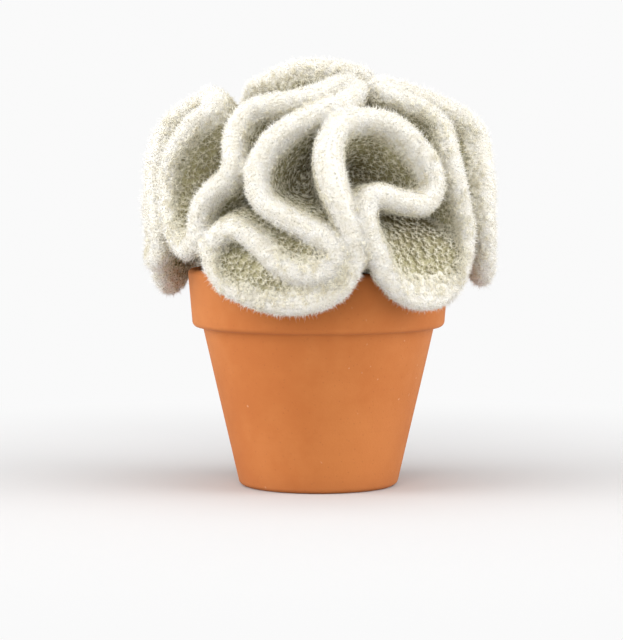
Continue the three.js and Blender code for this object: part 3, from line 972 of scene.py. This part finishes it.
def set_camera():
    """The photograph's own view: level sideways, tilted a little down."""
    data = bpy.data.cameras.new("camera")
    data.sensor_width = 36
    data.lens = CAMERA_FOCUS / PHOTO_HEIGHT * data.sensor_width
    data.clip_start, data.clip_end = 0.05, 30
    camera = placed("camera", data)
    camera.location = CAMERA_PLACE
    camera.rotation_euler = (math.radians(90 - CAMERA_TILT), 0, 0)
    bpy.context.scene.camera = camera


def set_light():
    for name, place, aim, width, height, power in SOFTBOXES:
        data = bpy.data.lights.new(name, "AREA")
        data.shape, data.size, data.size_y, data.energy = "RECTANGLE", width, height, power
        light = placed(name, data)
        light.location = place
        light.rotation_euler = (Vector((0, 0, aim)) - Vector(place)).to_track_quat("-Z", "Y").to_euler()
    world = bpy.data.worlds.new("studio")
    bpy.context.scene.world = world
    world.use_nodes = True
    recipe = Recipe(world.node_tree)
    world.node_tree.nodes.clear()
    seen = recipe.node("LightPath").outputs["Is Camera Ray"]
    lit = recipe.node("Background", Color=(1, 1, 1, 1), Strength=ROOM_LIGHT)
    shown = recipe.node("Background", Color=(1, 1, 1, 1), Strength=BACKDROP_WHITE)
    recipe.node("OutputWorld", Surface=recipe.mixed(seen, lit, shown))


def add_floor():
    """A flat pale floor that fades into the backdrop's white round the object."""
    angles = np.linspace(0, 2 * np.pi, FLOOR_SIDES, endpoint=False)
    points, faces = [(0, 0, 0)], []
    for radius in FLOOR_RINGS:
        points += [(radius * math.cos(a), radius * math.sin(a), 0) for a in angles]
    for k in range(FLOOR_SIDES):
        after = (k + 1) % FLOOR_SIDES
        faces.append((0, 1 + k, 1 + after))
        for row in range(len(FLOOR_RINGS) - 1):
            low, high = 1 + row * FLOOR_SIDES, 1 + (row + 1) * FLOOR_SIDES
            faces.append((low + k, high + k, high + after))
            faces.append((low + k, high + after, low + after))
    floor = built("studio_floor", points, faces)
    material, recipe, shader, place = new_material("pale_floor")
    cloud = recipe.between(recipe.noise(place, 2.0), 0.3, 0.7, 0.0, 0.2)
    surfaced(recipe, shader, recipe.blend(cloud, FLOOR_TONE, FLOOR_LIGHT), 0.9)
    recipe.set(shader, "Specular IOR Level", 0.2)
    away = recipe.numbered("VectorMath", {"operation": "LENGTH"}, (place,))["Value"]
    haze = recipe.node("Emission", Color=(1, 1, 1, 1), Strength=BACKDROP_WHITE)
    faded = recipe.mixed(recipe.between(away, 0.1, 0.4), shader, haze)
    recipe.set(material.node_tree.nodes["Material Output"], "Surface", faded)
    floor.data.materials.append(material)


# Assembly

def kept(piece, material, slot, node=None):
    piece.data.materials.clear()
    piece.data.materials.append(material)
    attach(piece, "root")
    if node:
        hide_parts(node)


def pot_profile():
    corners = [
        (DRAIN_RADIUS, 0), (FOOT_RADIUS - 1.6, 0),
        *[(body_radius_at(height), height) for height in (1.4, COLLAR_FOOT - 1.2)],
        (COLLAR_FOOT_RADIUS - 1.2, COLLAR_FOOT - 0.6), (COLLAR_FOOT_RADIUS, COLLAR_FOOT + 0.8),
        (RIM_RADIUS, POT_HEIGHT - 1.8), (RIM_RADIUS - 0.9, POT_HEIGHT - 0.3), (RIM_RADIUS - 1.9, POT_HEIGHT),
        (RIM_RADIUS - RIM_WALL + 1.2, POT_HEIGHT),
        *[(inner_radius_at(height), height) for height in (POT_HEIGHT - 1, COLLAR_FOOT, POT_FLOOR + 3)],
        (inner_radius_at(POT_FLOOR) - 3, POT_FLOOR), (DRAIN_RADIUS, POT_FLOOR),
    ]
    return with_longest(rounded(corners, 0.9), 4.0)


def add_pot(material):
    points, faces = turned(pot_profile(), POT_TURNING_SIDES)
    angle = np.arctan2(points[:, 1], points[:, 0])
    outer = np.clip((np.hypot(points[:, 0], points[:, 1]) - inner_radius_at(40)) / 8, 0, 1)
    wobble = 0.07 * np.sin(2 * angle + 0.04 * points[:, 2]) + 0.04 * np.sin(5 * angle - 0.09 * points[:, 2])
    points[:, :2] *= 1 + (wobble * outer / 60)[:, None]
    pot = built("flower_pot", points, faces)
    smooth_shaded(pot.data)
    kept(pot, material, "terracotta", "clay_pot")


def add_soil(material):
    def wall(height):
        return inner_radius_at(height) - SOIL_GAP

    corners = [
        (0, NECK_FOOT - HOLE_GAP), (HOLE_RADIUS, NECK_FOOT - HOLE_GAP), (HOLE_RADIUS, SOIL_LEVEL - 1.2),
        *[(radius, SOIL_LEVEL - 0.9) for radius in np.arange(HOLE_RADIUS + 1.2, 46, 1.2)],
        (46, SOIL_LEVEL - 1.6), (wall(SOIL_LEVEL - 3), SOIL_LEVEL - 3), (wall(COLLAR_FOOT), COLLAR_FOOT),
        (wall(POT_FLOOR + 3), POT_FLOOR + 3.2), (wall(POT_FLOOR) - 3.2, POT_FLOOR + SOIL_GAP),
        (0, POT_FLOOR + SOIL_GAP),
    ]
    points, faces = capped(corners[::-1], SOIL_SIDES)
    radius = np.hypot(points[:, 0], points[:, 1])
    top = (points[:, 2] > SOIL_LEVEL - 2) & (radius > HOLE_RADIUS + 0.6)
    x, y = points[:, 0], points[:, 1]
    lumps = np.sin(x * 0.9 + 2.1) * np.cos(y * 0.8) + 0.6 * np.sin(x * 0.37 - y * 0.53)
    lumps += 0.7 * np.sin(x * 2.3 + y * 1.9)
    points[:, 2] += np.where(top, 0.22 * lumps - 0.4 + random.uniform(-0.15, 0.15, len(points)), 0)
    soil = built("soil_fill", points, faces)
    smooth_shaded(soil.data)
    kept(soil, material, "soil", "potting_soil")


def add_grit(material):
    """Loose stones that lie half sunk in the soil's top."""
    editable = bmesh.new()
    bmesh.ops.create_icosphere(editable, subdivisions=1, radius=1.0)
    base = np.array([v.co for v in editable.verts])
    around = np.array([[v.index for v in f.verts] for f in editable.faces])
    editable.free()
    stones = []
    for _ in range(GRIT_STONES):
        size = random.uniform(0.5, 1.1)
        spot, turn = random.uniform(HOLE_RADIUS + 2.5, 44), random.uniform(0, 2 * np.pi)
        lump = base * size * random.uniform(0.75, 1.15, (len(base), 1)) * [1, random.uniform(0.7, 1), 0.7]
        stones.append((lump + [spot * math.cos(turn), spot * math.sin(turn), SOIL_LEVEL - 1.0], around))
    grains = built("soil_grit", *joined(stones))
    kept(grains, material, "soil")


def body_places(body, surface_points, places):
    """Depth, crest place and face for each point of the body, from the nearest point of the folds."""
    tree = tree_of(surface_points)
    nearest = np.array([tree.find(Vector(point))[1] for point in points_of(body.data)])
    return places[nearest]


def painted(mesh, places):
    """Stores how white the skin is at each point of a mesh, and how much painted shade darkens it deep in the
    valleys.
    """
    depth, number, side = places.T
    white = 1 - np.clip((depth - white_reach(number, side)) / WHITE_FADE, 0, 1)
    # share of painted shade, growing with depth below the crest
    valley_shade = np.clip((depth - VALLEY_SHADE_FROM) / VALLEY_SHADE_OVER, 0, 1)
    for name, values in (("white_share", white), ("valley_shade_share", valley_shade)):
        attribute = mesh.attributes.new(name, "FLOAT", "POINT")
        attribute.data.foreach_set("value", values.astype(np.float32))


def add_tubercles(areoles, material):
    points, faces = tubercles(areoles)
    piece = built("tubercles", points, faces)
    painted(piece.data, np.repeat(areoles[:, 6:9], TUBERCLE_SIDES + 1, 0))
    smooth_shaded(piece.data)
    kept(piece, material, "cactus")


def add_spines(name, tones, stars):
    """The needles of several kinds of star, in pieces of up to so many needles each."""
    material = spine_material(name, *tones)
    made = [star_spines(areoles, *kind) for areoles, kind in stars]
    bases, ways, lengths, widths = (np.concatenate(values) for values in zip(*made))
    for part, start in enumerate(range(0, len(bases), SPINES_PER_PIECE)):
        some = slice(start, start + SPINES_PER_PIECE)
        points, faces = needles(bases[some], ways[some], lengths[some], widths[some])
        kept(built(f"{name}_{part + 1}", points, faces), material, "cactus")


def white_reach(number, side):
    """How far down the white goes on each face at each place along the crest."""
    reach = WHITE_REACH + 1.0 * np.sin(number * 0.9 + side) + 0.7 * np.sin(number * 2.3 + 1)
    for place, face, width, more in BROAD_WHITES:
        reach += np.where(side == face, more, 0) * np.exp(-((number - place) / width) ** 2)
    return reach


bpy.context.scene.view_settings.view_transform = "Standard"
set_camera()
set_light()
add_floor()
mottle, grain = mottle_group(), grain_group()
add_pot(clay_material(mottle, grain))
add_soil(soil_material(mottle, grain))
add_grit(grit_material(grain))

folds = Folds()
surface_points, surface_faces, places = fold_surface(folds)
body = cactus_body(folds, (surface_points, surface_faces))
places = body_places(body, surface_points, places)
painted(body.data, places)
skin = skin_material(mottle, grain)
kept(body, skin, "cactus", "crested_cactus")

areoles = settled(areoles_on(folds), body, places)
depth, number, side = areoles[:, 6:9].T
below = depth - np.maximum(white_reach(number, side), LEAST_WHITE)
below += random.uniform(-BORDER_STRAY, BORDER_STRAY, len(depth))
band = np.digitize(below, UPPER_BAND)
crest, upper, lower = (areoles[band == k] for k in range(3))
add_tubercles(np.concatenate([upper, lower]), skin)
for wall in (upper, lower):
    wall[:, :3] += wall[:, 3:6] * TUBERCLE_HEIGHT * STAR_ON_TUBERCLE
add_spines("crest_spines", CREST_SPINE_TONES, [(crest, CREST_STAR), (crest, CREST_CENTRE)])
add_spines("wall_spines", WALL_SPINE_TONES, [(upper, UPPER_STAR), (lower, LOWER_STAR)])
